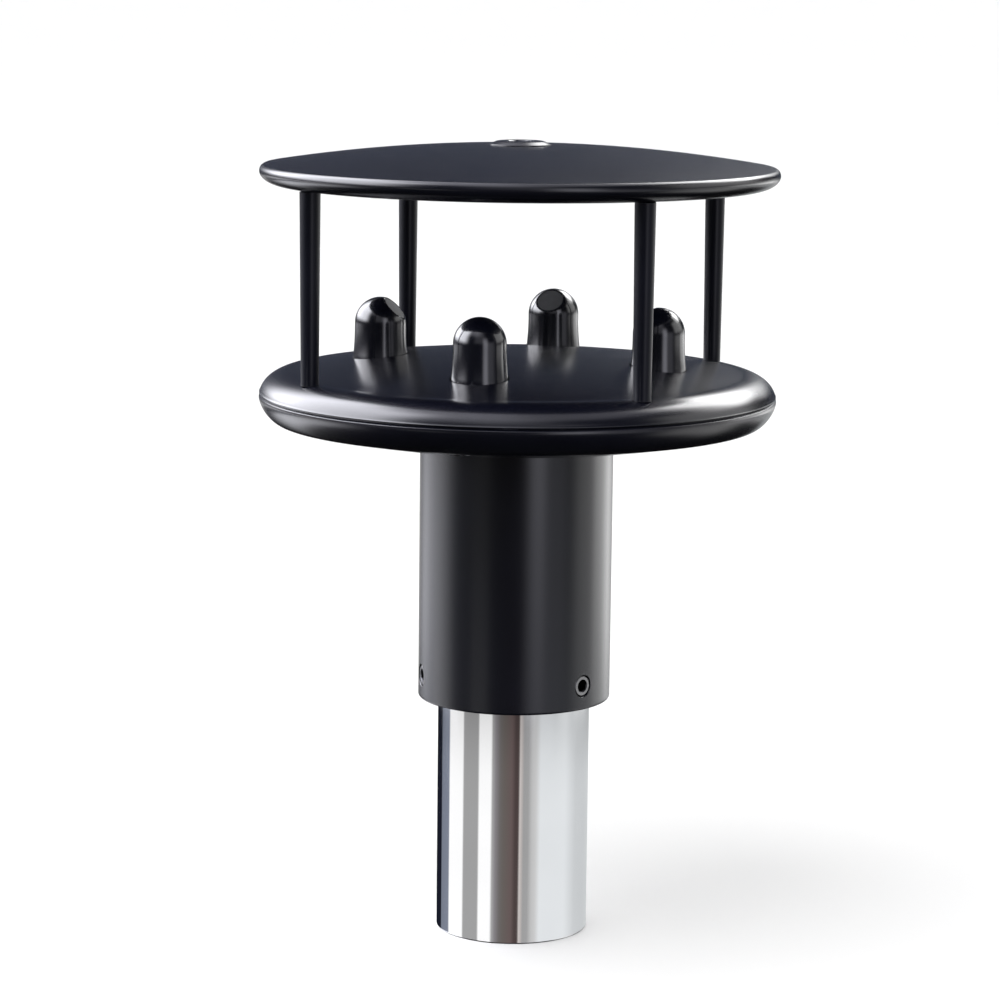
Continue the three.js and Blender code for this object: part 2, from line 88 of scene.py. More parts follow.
SHELL_BOTTOM = low("base_shell").z
RIM_R = high("base_shell").x
SEAM_Z = high("base_shell").z
DECK_APEX = high("deck_plate").z
RIM_Z = SEAM_Z - 0.97
DECK_SHOULDER_R = 61.7
DECK_SHOULDER_Z = DECK_APEX - 4.74
SHELL_EDGE_R = 66.2
SHELL_EDGE_Z = SHELL_BOTTOM + 4.1
FLOOR_Z = SHELL_BOTTOM + 3.7
SHELL_BORE_R = 19.5
LIP_R = 66.2
LIP_BOTTOM = 147.7
SEAM_GROOVE_DEPTH = 1.4

PLATE_BOTTOM = low("top_plate").z
PLATE_R = high("top_plate").x
PLATE_APEX = high("top_plate").z
PLATE_FLAT_R = 64.7
PLATE_RIM_Z = PLATE_BOTTOM + 3.65
PLATE_SHOULDER_R = 69.8
PLATE_SHOULDER_Z = PLATE_BOTTOM + 5.37
PLUG_R = high("top_plug").x
PLUG_BOTTOM = low("top_plug").z
PLUG_TOP = high("top_plug").z
PLUG_EDGE_Z = PLUG_TOP - 0.9
PLUG_TOP_R = 6.4
PLUG_FLATS = 6
PLATE_HOLE_TOP = 212.5

POST_RADIUS = middle("post_1").xy.length
POST_ANGLES = (45, 135, 225, 315)
POST_FOOT_Z = low("post_1").z
POST_STUD_TOP = high("post_1").z
POST_FOOT_R = 2.4
POST_HEAD_R = 2.8
POST_STUD_R = 1.95
POST_TAP_TOP = 165.5

POD_RADIUS = middle("pod_nut_1").xy.length
POD_ANGLES = (0, 90, 180, 270)
POD_R = 7.1
POD_FLANGE_R = 7.6
POD_STEM_BOTTOM = low("transducer_pod_1").z
POD_PAD_Z = high("pod_nut_1").z
POD_SEAT_Z = POD_PAD_Z + 3.6
POD_CENTRE_Z = POD_SEAT_Z + 10.3
POD_STEM_R = 5
POD_BORE_R = 3.6
POD_NUT_FLATS = 14
POD_GROOVE_R = 4.9
POD_GROOVE_HEIGHT = 1.1
POD_FACE = 5.9    # from the dome's centre to the slanted flat
FACE_R = 3.7
FACE_SINK = 0.1
FACE_THICKNESS = 1.2
PIEZO_R = 3
PIEZO_THICKNESS = 2

TAP_M3_R = 1.6
CLEAR_M4_R = 2.25
TAP_M4_R = 2.1
NECK_SCREW_RADIUS = middle("neck_screw_1").xy.length
SHELL_SCREW_RADIUS = middle("shell_screw_1").xy.length
BOARD_SCREW_RADIUS = middle("board_screw_1").xy.length
BOARD_SCREW_ANGLES = (45, 165, 285)
BOARD_BOTTOM = low("main_board").z
BOARD_TOP = BOARD_BOTTOM + 1.6
BOARD_INNER_R = 28
BOARD_OUTER_R = 52
BOARD_TAP_BOTTOM = 141.4
WEB_TOP = low("connector_nut").z
WEB_BOTTOM = WEB_TOP - 4
CONNECTOR_R = 9
CONNECTOR_BORE_R = 7.7
CONNECTOR_BOTTOM = 101
CONNECTOR_TOP = 120
CONNECTOR_FLATS = 22


# --- Node helpers ----------------------------------------------------------------------------
class Graph:
    """A node tree with short calls for adding nodes and joining them."""

    def __init__(self, tree):
        self.nodes = tree.nodes
        self.links = tree.links

    def add(self, kind, inputs=None, **settings):
        node = self.nodes.new(kind)
        for key, value in settings.items():
            setattr(node, key, value)
        for key, value in (inputs or {}).items():
            self.feed(node.inputs[key], value)
        return node

    def feed(self, socket, value):
        if isinstance(value, bpy.types.NodeSocket):
            self.links.new(value, socket)
        else:
            socket.default_value = value

    def math(self, operation, a, b=0.0):
        return self.add("ShaderNodeMath", {0: a, 1: b}, operation=operation).outputs[0]

    def spread(self, value, from_low, from_high, to_low, to_high, kind="LINEAR"):
        node = self.add("ShaderNodeMapRange", {
            "Value": value,
            "From Min": from_low,
            "From Max": from_high,
            "To Min": to_low,
            "To Max": to_high,
        }, interpolation_type=kind)
        return node.outputs["Result"]

    def dot(self, vector, direction):
        return self.add("ShaderNodeVectorMath", {0: vector, 1: direction},
                        operation="DOT_PRODUCT").outputs["Value"]

    def scaled(self, vector, factor):
        return self.add("ShaderNodeVectorMath", {0: vector, "Scale": factor},
                        operation="SCALE").outputs["Vector"]

    def mix(self, factor, a, b):
        node = self.add("ShaderNodeMix", data_type="RGBA")
        self.feed(node.inputs[0], factor)
        self.feed(node.inputs[6], a)
        self.feed(node.inputs[7], b)
        return node.outputs[2]

    def noise(self, vector, scale, detail=2.0):
        node = self.add("ShaderNodeTexNoise", {
            "Vector": vector,
            "Scale": scale,
            "Detail": detail,
        })
        return node.outputs["Fac"]

    def ramp(self, factor, stops):
        node = self.add("ShaderNodeValToRGB", {"Fac": factor})
        elements = node.color_ramp.elements
        while len(elements) < len(stops):
            elements.new(0.5)
        for element, (position, colour) in zip(elements, stops):
            element.position = position
            element.color = (*colour, 1)
        return node.outputs["Color"]


def new_material(name):
    material = bpy.data.materials.new(name)
    material.use_nodes = True
    graph = Graph(material.node_tree)
    shader = graph.nodes["Principled BSDF"]
    place = graph.add("ShaderNodeTexCoord").outputs["Object"]
    return material, graph, shader, place


def stretched(graph, place, x, y, z):
    return graph.add("ShaderNodeMapping", {"Vector": place, "Scale": (x, y, z)}).outputs["Vector"]


def bumped(graph, shader, height, distance, strength=1.0):
    bump = graph.add("ShaderNodeBump", {
        "Height": height,
        "Distance": distance,
        "Strength": strength,
    })
    graph.feed(shader.inputs["Normal"], bump.outputs["Normal"])


def tinted(graph, shader, place, colour, spread, scale):
    """Base colour that drifts a little lighter and darker over the surface."""
    drift = graph.noise(place, scale, 4)
    dark = tuple(c * (1 - spread) for c in colour) + (1,)
    light = tuple(c * (1 + spread) for c in colour) + (1,)
    factor = graph.spread(drift, 0.35, 0.65, 0, 1)
    graph.feed(shader.inputs["Base Color"], graph.mix(factor, dark, light))


# --- Materials -------------------------------------------------------------------------------
def black_coating(name, gloss, peel, sheen=1.0, index=1.5):
    """Semi-gloss black coating: faint orange peel, slight wear on sharp edges."""
    material, graph, shader, place = new_material(name)
    drift = graph.noise(place, 45, 3)
    base = graph.mix(graph.spread(drift, 0.35, 0.65, 0, 1),
                     (0.0022, 0.0027, 0.0068, 1), (0.0034, 0.004, 0.0095, 1))
    edge = graph.add("ShaderNodeNewGeometry").outputs["Pointiness"]
    speckle = graph.noise(place, 2200, 3)
    worn = graph.math("MULTIPLY", graph.spread(edge, 0.53, 0.6, 0, 0.5), speckle)
    graph.feed(shader.inputs["Base Color"], graph.mix(worn, base, (0.06, 0.062, 0.07, 1)))
    smear = graph.noise(stretched(graph, place, 1, 1, 0.4), 90, 4)
    graph.feed(shader.inputs["Roughness"], graph.spread(smear, 0.3, 0.7, 0.36, 0.44))
    bumped(graph, shader, graph.noise(place, 900, 2), peel, 0.25)
    shader.inputs["IOR"].default_value = 1.5
    shader.inputs["Specular IOR Level"].default_value = 0.07
    shader.inputs["Coat Weight"].default_value = sheen
    shader.inputs["Coat Roughness"].default_value = gloss
    shader.inputs["Coat IOR"].default_value = index
    return material


def polished_tube():
    """Mirror-polished stainless tube with fine lengthwise polishing lines."""
    material, graph, shader, place = new_material("polished_stainless")
    tinted(graph, shader, place, (0.80, 0.80, 0.805), 0.02, 30)
    lines = graph.noise(stretched(graph, place, 1, 1, 0.02), 3000, 3)
    smudge = graph.noise(place, 40, 5)
    haze = graph.spread(smudge, 0.4, 0.75, 0.035, 0.07)
    graph.feed(shader.inputs["Roughness"],
               graph.math("ADD", haze, graph.math("MULTIPLY", lines, 0.02)))
    bumped(graph, shader, lines, 0.000002, 0.2)
    shader.inputs["Metallic"].default_value = 1.0
    return material


def turned_metal(name, colour, roughness):
    """Bare machined metal with fine turning marks."""
    material, graph, shader, place = new_material(name)
    tinted(graph, shader, place, colour, 0.05, 120)
    marks = graph.noise(stretched(graph, place, 0.3, 0.3, 1), 2600, 2)
    graph.feed(shader.inputs["Roughness"],
               graph.spread(marks, 0.3, 0.7, roughness - 0.05, roughness + 0.07))
    bumped(graph, shader, marks, 0.000008, 0.3)
    shader.inputs["Metallic"].default_value = 1.0
    return material


def plain_solid(name, colour, roughness, grain=1500, depth=0.00001):
    """Moulded, fired or rubber surface with a fine grain."""
    material, graph, shader, place = new_material(name)
    tinted(graph, shader, place, colour, 0.1, 150)
    speck = graph.noise(place, grain, 3)
    graph.feed(shader.inputs["Roughness"],
               graph.spread(speck, 0.3, 0.7, roughness - 0.04, roughness + 0.04))
    bumped(graph, shader, speck, depth, 0.3)
    return material


COATING = black_coating("black_coating", 0.225, 0.000016)
POD_BLACK = black_coating("pod_black", 0.15, 0.000008, 1.0, 1.65)
POST_BLACK = black_coating("post_black", 0.3, 0.000012, 0.3)
TUBE_STEEL = polished_tube()
FASTENER = turned_metal("stainless_fastener", (0.62, 0.62, 0.63), 0.25)
DULL_STEEL = turned_metal("dull_steel", (0.24, 0.24, 0.245), 0.38)
BLACK_OXIDE = turned_metal("black_oxide_steel", (0.045, 0.045, 0.05), 0.35)
BARE_EDGE = turned_metal("bare_aluminium", (0.72, 0.72, 0.73), 0.28)
NICKEL = turned_metal("nickel_plate", (0.66, 0.63, 0.58), 0.25)
GOLD = turned_metal("gold_contact", (0.85, 0.6, 0.22), 0.22)
RUBBER = plain_solid("seal_rubber", (0.012, 0.012, 0.013), 0.6)
FACE = plain_solid("sensor_face", (0.12, 0.122, 0.132), 0.55, 1800, 0.000015)
FACE.node_tree.nodes["Principled BSDF"].inputs["Specular IOR Level"].default_value = 0.25
CERAMIC = plain_solid("piezo_ceramic", (0.62, 0.56, 0.44), 0.5)
INSULATOR = plain_solid("insulator", (0.018, 0.018, 0.02), 0.45)
WIRE_RED = plain_solid("wire_jacket", (0.35, 0.02, 0.018), 0.4)
LOOM = plain_solid("loom_sleeve", (0.016, 0.017, 0.019), 0.55)
LAMINATE = plain_solid("board_laminate", (0.02, 0.11, 0.045), 0.35, 900, 0.000006)
CHIP = plain_solid("chip_package", (0.02, 0.02, 0.022), 0.5)
SOLDER = turned_metal("solder", (0.7, 0.7, 0.7), 0.3)


# --- Mesh helpers ----------------------------------------------------------------------------
def arc_between(start, end, centre, steps):
    """Points from start to end on a circle about centre."""
    a = start - centre
    b = end - centre
    turn = a.angle_signed(b)
    return [centre + Matrix.Rotation(-turn * i / steps, 2) @ a for i in range(steps + 1)]


def rounded(corners, steps=5):
    """Outline through (r, z) or (r, z, fillet radius) corners."""
    points = []
    for i, (r, z, *fillet) in enumerate(corners):
        here = Vector((r, z))
        if not fillet:
            points.append(here)
            continue
        before = (Vector(corners[i - 1][:2]) - here).normalized()
        after = (Vector(corners[(i + 1) % len(corners)][:2]) - here).normalized()
        half = before.angle(after) / 2
        reach = fillet[0] / math.tan(half)
        centre = here + (before + after).normalized() * fillet[0] / math.sin(half)
        points += arc_between(here + before * reach, here + after * reach, centre, steps)
    return [tuple(p) for p in points]


def bend(r, z, a, b, power, start, end, count):
    """Part of a superellipse quadrant centred on (r, z), angles in degrees."""
    points = []
    for i in range(count + 1):
        t = math.radians(start + (end - start) * i / count)
        c, s = math.cos(t), math.sin(t)
        points.append((
            r + a * math.copysign(abs(c) ** (2 / power), c),
            z + b * math.copysign(abs(s) ** (2 / power), s),
        ))
    return points


def dome(edge_r, edge_z, apex_z, count):
    """Shallow dome from just inside its edge to the axis."""
    radii = [edge_r * (1 - (i + 1) / count) for i in range(count)]
    return [(r, apex_z - (apex_z - edge_z) * (r / edge_r) ** 2) for r in radii]


def make_object(name, verts, faces):
    mesh = bpy.data.meshes.new(name)
    mesh.from_pydata([tuple(c * MM for c in v) for v in verts], [], faces)
    mesh.update()
    body = bpy.data.objects.new(name, mesh)
    scene.collection.objects.link(body)
    return body


def lathe(name, profile, segments=128, closed=False, thread=None):
    """Revolves an outline about the vertical axis.

    thread is (bottom, top, pitch, depth): a helical groove on the rings between.
    """
    verts, faces, rings = [], [], []
    for r, z in profile:
        if r < 1e-6:
            rings.append([len(verts)])
            verts.append((0, 0, z))
            continue
        rings.append(list(range(len(verts), len(verts) + segments)))
        for i in range(segments):
            t = 2 * math.pi * i / segments
            depth = 0
            if thread and thread[0] < z < thread[1]:
                phase = (z / thread[2] - i / segments) % 1
                depth = thread[3] * abs(2 * phase - 1)
            verts.append(((r - depth) * math.cos(t), (r - depth) * math.sin(t), z))
    following = rings[1:] + ([rings[0]] if closed else [])
    for lower, upper in zip(rings, following):
        for i in range(segments):
            j = (i + 1) % segments
            loop = [lower[i % len(lower)], lower[j % len(lower)],
                    upper[j % len(upper)], upper[i % len(upper)]]
            loop = list(dict.fromkeys(loop))
            if len(loop) > 2:
                faces.append(loop)
    return make_object(name, verts, faces)


def prism(name, outline, bottom, top):
    """Upright prism over a polygon."""
    count = len(outline)
    verts = [(x, y, bottom) for x, y in outline] + [(x, y, top) for x, y in outline]
    faces = [list(range(count))[::-1], list(range(count, 2 * count))]
    faces += [[i, (i + 1) % count, count + (i + 1) % count, count + i] for i in range(count)]
    return make_object(name, verts, faces)


def hexagon(flats):
    radius = flats / math.sqrt(3)
    angles = [math.radians(60 * i) for i in range(6)]
    return [(radius * math.cos(a), radius * math.sin(a)) for a in angles]


def rod(name, radius, bottom, top, segments=48):
    return lathe(name, [(0, bottom), (radius, bottom), (radius, top), (0, top)], segments)


def shift(body, matrix):
    body.data.transform(matrix)
    return body


def polar(radius, degrees, z=0.0):
    """Matrix that moves out by a radius and up by z, then turns by an angle."""
    turn = Matrix.Rotation(math.radians(degrees), 4, "Z")
    return turn @ Matrix.Translation(Vector((radius, 0, z)) * MM)


def evaluated_mesh(body):
    bpy.context.view_layer.update()
    graph = bpy.context.evaluated_depsgraph_get()
    return bpy.data.meshes.new_from_object(body.evaluated_get(graph))


def bake_modifiers(body):
    mesh = evaluated_mesh(body)
    body.modifiers.clear()
    old = body.data
    body.data = mesh
    bpy.data.meshes.remove(old)


def carve(body, cutters, operation="DIFFERENCE"):
    """Cuts or joins other solids, which are used up."""
    for cutter in cutters:
        step = body.modifiers.new("carve", "BOOLEAN")
        step.operation = operation
        step.object = cutter
        step.solver = "EXACT"
        step.material_mode = "TRANSFER"
    bake_modifiers(body)
    for cutter in cutters:
        bpy.data.objects.remove(cutter)
    return body


def paint(body, material):
    body.data.materials.clear()
    body.data.materials.append(material)
    return body


def smooth(body):
    """Smooth shading with true creases, weighted so that flats stay flat."""
    mesh = body.data
    mesh.polygons.foreach_set("use_smooth", [True] * len(mesh.polygons))
    mesh.set_sharp_from_angle(angle=math.radians(CREASE_ANGLE))
    weighted = body.modifiers.new("weighted", "WEIGHTED_NORMAL")
    weighted.keep_sharp = True
    weighted.mode = "FACE_AREA"
    bake_modifiers(body)
    return body


def settle(body, node, group):
    """Finishes a piece: it stands for a CAD node and rides on that node's body."""
    smooth(body)
    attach(body, group)
    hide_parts(node)
    return body


# --- Mast tube -------------------------------------------------------------------------------
def build_tube():
    inner = TUBE_R - TUBE_WALL
    outline = rounded([
        (inner, 0, 0.25), (TUBE_R, 0, 0.35), (TUBE_R, TUBE_TOP, 0.5), (inner, TUBE_TOP, 0.3),
    ])
    tube = paint(lathe("mast_tube_form", outline, 192, closed=True), TUBE_STEEL)
    settle(tube, "mast_tube", "mast")


# --- Neck and its set screws -----------------------------------------------------------------
def rows(r, bottom, top, count):
    """Evenly spaced points up a straight wall."""
    return [(r, bottom + (top - bottom) * i / count) for i in range(count + 1)]


def build_neck():
    edge = 0.6
    outline = rounded([(SOCKET_R, NECK_BOTTOM, 0.4), (NECK_R, NECK_BOTTOM, edge), (NECK_R, 75)], 6)
    outline = outline[:-1] + rows(NECK_R, NECK_BOTTOM + edge + 0.3, NECK_BOTTOM + 14, 18)
    groove_top = SHELL_BOTTOM + SPIGOT_GROOVE_HEIGHT
    outline += rounded([
        (NECK_R, NECK_BOTTOM + 20), (NECK_R, SHELL_BOTTOM, 0.3),
        (SPIGOT_GROOVE_R, SHELL_BOTTOM, 0.1), (SPIGOT_GROOVE_R, groove_top, 0.1),
        (SPIGOT_R, groove_top, 0.2), (SPIGOT_R, SPIGOT_TOP, 0.4),
        (SPIGOT_BORE_R, SPIGOT_TOP, 0.4), (SPIGOT_BORE_R, WEB_TOP, 0.5),
        (WEB_BORE_R, WEB_TOP, 0.2), (WEB_BORE_R, WEB_BOTTOM, 0.2),
        (SOCKET_R, WEB_BOTTOM, 0.3), (SOCKET_R, NECK_BOTTOM + 20),
    ])[:-1]
    neck = paint(lathe("neck_form", outline, 192, closed=True), COATING)
    cutters = []
    for angle in SET_SCREW_ANGLES:
        mouth_r = SET_SCREW_HOLE_R + 0.13
        hole = lathe("hole", [
            (0, 18), (SET_SCREW_HOLE_R, 18), (SET_SCREW_HOLE_R, SET_SCREW_END),
            (mouth_r, SET_SCREW_END + 0.2), (mouth_r, NECK_R + 1.8), (0, NECK_R + 1.8),
        ], 64)
        shift(hole, Matrix.Rotation(math.radians(90), 4, "Y"))
        cutters.append(paint(shift(hole, polar(0, angle, SET_SCREW_Z)), COATING))
    for angle in POD_ANGLES:
        hole = rod("hole", TAP_M4_R, 130, SHELL_BOTTOM + 1, 32)
        cutters.append(paint(shift(hole, polar(NECK_SCREW_RADIUS, angle)), BARE_EDGE))
    carve(neck, cutters)
    settle(neck, "neck", "head")


def build_set_screws():
    point, end, radius = SET_SCREW_POINT, SET_SCREW_END, SET_SCREW_R
    thread_rows = rows(radius, point + 1.1, end - 0.45, 34)
    outline = [(0, point), (1.7, point), (1.9, point + 0.12), (2.4, point + 0.75), *thread_rows,
               *rounded([(radius, end - 0.45), (radius - 0.35, end, 0.25), (0, end)], 4)]
    for i, angle in enumerate(SET_SCREW_ANGLES, 1):
        screw = lathe(f"set_screw_{i}_form", outline, 48,
                      thread=(point + 1.0, end - 0.5, 1.0, 0.45))
        paint(screw, DULL_STEEL)
        socket = prism("socket", hexagon(SET_SCREW_FLATS), end - 2.7, end + 1)
        lead_in = lathe("lead_in", [(0, end - 0.3), (1.5, end - 0.3), (1.95, end + 0.1),
                                    (0, end + 0.1)], 36)
        carve(screw, [paint(socket, BLACK_OXIDE), paint(lead_in, BLACK_OXIDE)])
        shift(screw, Matrix.Rotation(math.radians(90), 4, "Y"))
        shift(screw, polar(0, angle, SET_SCREW_Z))
        settle(screw, f"set_screw_{i}", f"set_screw_{i}")


# --- Housing ---------------------------------------------------------------------------------
def build_shell():
    side = bend(SHELL_EDGE_R, RIM_Z, RIM_R - SHELL_EDGE_R, RIM_Z - SHELL_EDGE_Z, 1.5, -90, 0, 26)
    outline = rounded([(SHELL_BORE_R, SHELL_BOTTOM, 0.2), (30, SHELL_BOTTOM, 4),
                       (49.5, SHELL_BOTTOM + 1)])
    outline += [(58, SHELL_BOTTOM + 2.55), *side]
    groove_floor = SEAM_Z - SEAM_GROOVE_DEPTH
    outline += rounded([
        (RIM_R, RIM_Z + 0.2), (RIM_R - 0.03, SEAM_Z - 0.42, 0.2), (RIM_R - 0.6, SEAM_Z, 0.15),
        (68.4, SEAM_Z, 0.1), (68.4, groove_floor), (LIP_R + 0.3, groove_floor),
        (LIP_R + 0.3, SEAM_Z - 2.7, 0.8), (63.5, FLOOR_Z + 1.8, 1.5), (52, FLOOR_Z, 2),
        (SHELL_BORE_R, FLOOR_Z, 0.2), (SHELL_BORE_R, SHELL_BOTTOM + 1),
    ], 4)[1:-1]
    shell = paint(lathe("base_shell_form", outline, 256, closed=True), COATING)
    bosses = [shift(rod("boss", 4.8, FLOOR_Z + 0.3, FLOOR_Z + 4.2), polar(SHELL_SCREW_RADIUS, a))
              for a in POD_ANGLES]
    bosses += [shift(rod("pillar", 3.2, FLOOR_Z - 0.5, BOARD_BOTTOM), polar(BOARD_SCREW_RADIUS, a))
               for a in BOARD_SCREW_ANGLES]
    carve(shell, [paint(b, COATING) for b in bosses], "UNION")
    cutters = []
    for angle in POD_ANGLES:
        sink = lathe("sink", [(0, 139), (3.1, 139), (3.1, 145.4), (1.7, 145.4), (1.7, 148),
                              (0, 148)], 48)
        cutters.append(paint(shift(sink, polar(SHELL_SCREW_RADIUS, angle)), COATING))
        hole = rod("hole", CLEAR_M4_R, SHELL_BOTTOM - 1, FLOOR_Z + 1, 32)
        cutters.append(paint(shift(hole, polar(NECK_SCREW_RADIUS, angle)), BARE_EDGE))
    for angle in BOARD_SCREW_ANGLES:
        hole = rod("hole", TAP_M3_R, BOARD_TAP_BOTTOM, BOARD_BOTTOM + 1, 32)
        cutters.append(paint(shift(hole, polar(BOARD_SCREW_RADIUS, angle)), BARE_EDGE))
    carve(shell, cutters)
    settle(shell, "base_shell", "head")


def deck_height(r):
    return DECK_APEX - (DECK_APEX - DECK_SHOULDER_Z) * (r / DECK_SHOULDER_R) ** 2


def build_deck():
    curve = bend(DECK_SHOULDER_R, RIM_Z, RIM_R - DECK_SHOULDER_R, DECK_SHOULDER_Z - RIM_Z,
                 2.1, 0, 90, 40)
    lining = [(r, deck_height(r) - 3.5) for r in (0, 15, 30, 45, 58)]
    outline = lining + rounded([
        (58.2, deck_height(58) - 3.55), (60.5, 153.4, 1), (63.2, 152.2, 0.5),
        (63.2, LIP_BOTTOM, 0.2), (LIP_R, LIP_BOTTOM, 0.3), (LIP_R, SEAM_Z, 0.15),
        (RIM_R - 0.6, SEAM_Z, 0.15),
        (RIM_R - 0.06, SEAM_Z + 0.5, 0.2), (RIM_R - 0.12, SEAM_Z + 0.9),
    ], 4)[1:-1]
    outline += [p for p in curve if p[1] > SEAM_Z + 0.8]
    outline += dome(DECK_SHOULDER_R, DECK_SHOULDER_Z, DECK_APEX, 30)
    deck = paint(lathe("deck_plate_form", outline, 256), COATING)
    added = [shift(rod("pad", 9.5, POD_PAD_Z, POD_SEAT_Z - 0.2), polar(POD_RADIUS, a))
             for a in POD_ANGLES]
    added += [shift(rod("boss", 4.5, 147.5, 155.8), polar(SHELL_SCREW_RADIUS, a))
              for a in POD_ANGLES]
    carve(deck, [paint(b, COATING) for b in added], "UNION")
    cutters = []
    for angle in POD_ANGLES:
        seat = lathe("seat", [(0, 150), (5.3, 150), (5.3, POD_SEAT_Z), (8.05, POD_SEAT_Z),
                              (8.05, 165), (0, 165)], 96)
        cutters.append(shift(seat, polar(POD_RADIUS, angle)))
        hole = rod("hole", TAP_M3_R, 146, 155.2, 32)
        cutters.append(shift(hole, polar(SHELL_SCREW_RADIUS, angle)))
    for angle in POST_ANGLES:
        seat = lathe("seat", [(0, 147), (3.2, 147), (3.2, 153.8), (1.7, 153.8), (1.7, POST_FOOT_Z),
                              (2.6, POST_FOOT_Z), (2.6, 160), (0, 160)], 48)
        cutters.append(shift(seat, polar(POST_RADIUS, angle)))
    carve(deck, [paint(c, COATING) for c in cutters])
    settle(deck, "deck_plate", "head")


def build_posts():
    foot, head = POST_FOOT_R, POST_HEAD_R
    for i, angle in enumerate(POST_ANGLES, 1):
        wall = [(foot + (head - foot) * t, POST_FOOT_Z + (PLATE_BOTTOM - POST_FOOT_Z) * t)
                for t in (0.01, 0.25, 0.5, 0.75, 0.99)]
        stud = rows(POST_STUD_R, PLATE_BOTTOM + 0.4, POST_STUD_TOP - 0.5, 24)
        outline = [(0, POST_FOOT_Z), (foot - 0.15, POST_FOOT_Z), (foot, POST_FOOT_Z + 0.15),
                   *wall, (head, PLATE_BOTTOM - 0.15), (head - 0.15, PLATE_BOTTOM - 0.02),
                   (1.7, PLATE_BOTTOM - 0.02), *stud, (1.5, POST_STUD_TOP), (0, POST_STUD_TOP)]
        post = lathe(f"post_{i}_form", outline, 64,
                     thread=(PLATE_BOTTOM + 0.3, POST_STUD_TOP - 0.4, 0.7, 0.3))
        paint(post, POST_BLACK)
        tap = rod("tap", TAP_M3_R, POST_FOOT_Z - 1, POST_TAP_TOP, 32)
        carve(post, [paint(tap, BARE_EDGE)])
        shift(post, polar(POST_RADIUS, angle))
        settle(post, f"post_{i}", "head")


def build_top_plate():
    under = bend(PLATE_FLAT_R, PLATE_RIM_Z, PLATE_R - PLATE_FLAT_R, PLATE_RIM_Z - PLATE_BOTTOM,
                 2, -90, 0, 18)
    brow = [(PLATE_R - 0.06, PLATE_RIM_Z + 0.5), (PLATE_R - 0.22, PLATE_RIM_Z + 0.95),
            (PLATE_R - 0.5, PLATE_RIM_Z + 1.35), (PLATE_SHOULDER_R + 0.15, PLATE_SHOULDER_Z - 0.1)]
    recess_r = PLUG_R + 0.15
    crown = [(r, z) for r, z in dome(PLATE_SHOULDER_R, PLATE_SHOULDER_Z, PLATE_APEX, 34)
             if r > recess_r + 0.8]
    lip_z = crown[-1][1] + 0.6 * (PLATE_APEX - crown[-1][1]) * (1 - recess_r / crown[-1][0])
    outline = [(0, PLATE_BOTTOM), (20, PLATE_BOTTOM), (45, PLATE_BOTTOM), *under, *brow,
               (PLATE_SHOULDER_R, PLATE_SHOULDER_Z), *crown,
               (recess_r + 0.25, lip_z), (recess_r + 0.07, lip_z - 0.05), (recess_r, lip_z - 0.2),
               (recess_r, PLUG_BOTTOM + 0.1), (recess_r - 0.1, PLUG_BOTTOM), (0, PLUG_BOTTOM)]
    plate = paint(lathe("top_plate_form", outline, 256), COATING)
    cutters = []
    for angle in POST_ANGLES:
        hole = rod("hole", POST_STUD_R + 0.25, PLATE_BOTTOM - 1, PLATE_HOLE_TOP, 32)
        cutters.append(paint(shift(hole, polar(POST_RADIUS, angle)), BARE_EDGE))
    carve(plate, cutters)
    settle(plate, "top_plate", "head")


def build_plug():
    outline = [(0, PLUG_BOTTOM)] + rounded([
        (0, PLUG_BOTTOM), (PLUG_R, PLUG_BOTTOM, 0.3), (PLUG_R, PLUG_EDGE_Z, 0.12),
        (PLUG_TOP_R, PLUG_TOP, 3), (0, PLUG_TOP),
    ], 8)[1:-1] + [(0, PLUG_TOP)]
    plug = paint(lathe("top_plug_form", outline, 128), COATING)
    socket = paint(prism("socket", hexagon(PLUG_FLATS), PLUG_TOP - 3, PLUG_TOP + 1), COATING)
    lead_in = lathe("lead_in", [(0, PLUG_TOP - 0.3), (3.1, PLUG_TOP - 0.3),
                                (3.6, PLUG_TOP + 0.1), (0, PLUG_TOP + 0.1)], 64)
    carve(plug, [socket, paint(lead_in, COATING)])
    settle(plug, "top_plug", "head")


# --- Transducer pods -------------------------------------------------------------------------
def faceward(body):
    """From lying about the vertical axis to lying on the slanted face's own axis."""
    tilt = Matrix.Rotation(math.radians(-45), 4, "Y")
    return shift(body, Matrix.Translation((0, 0, POD_CENTRE_Z * MM)) @ tilt)


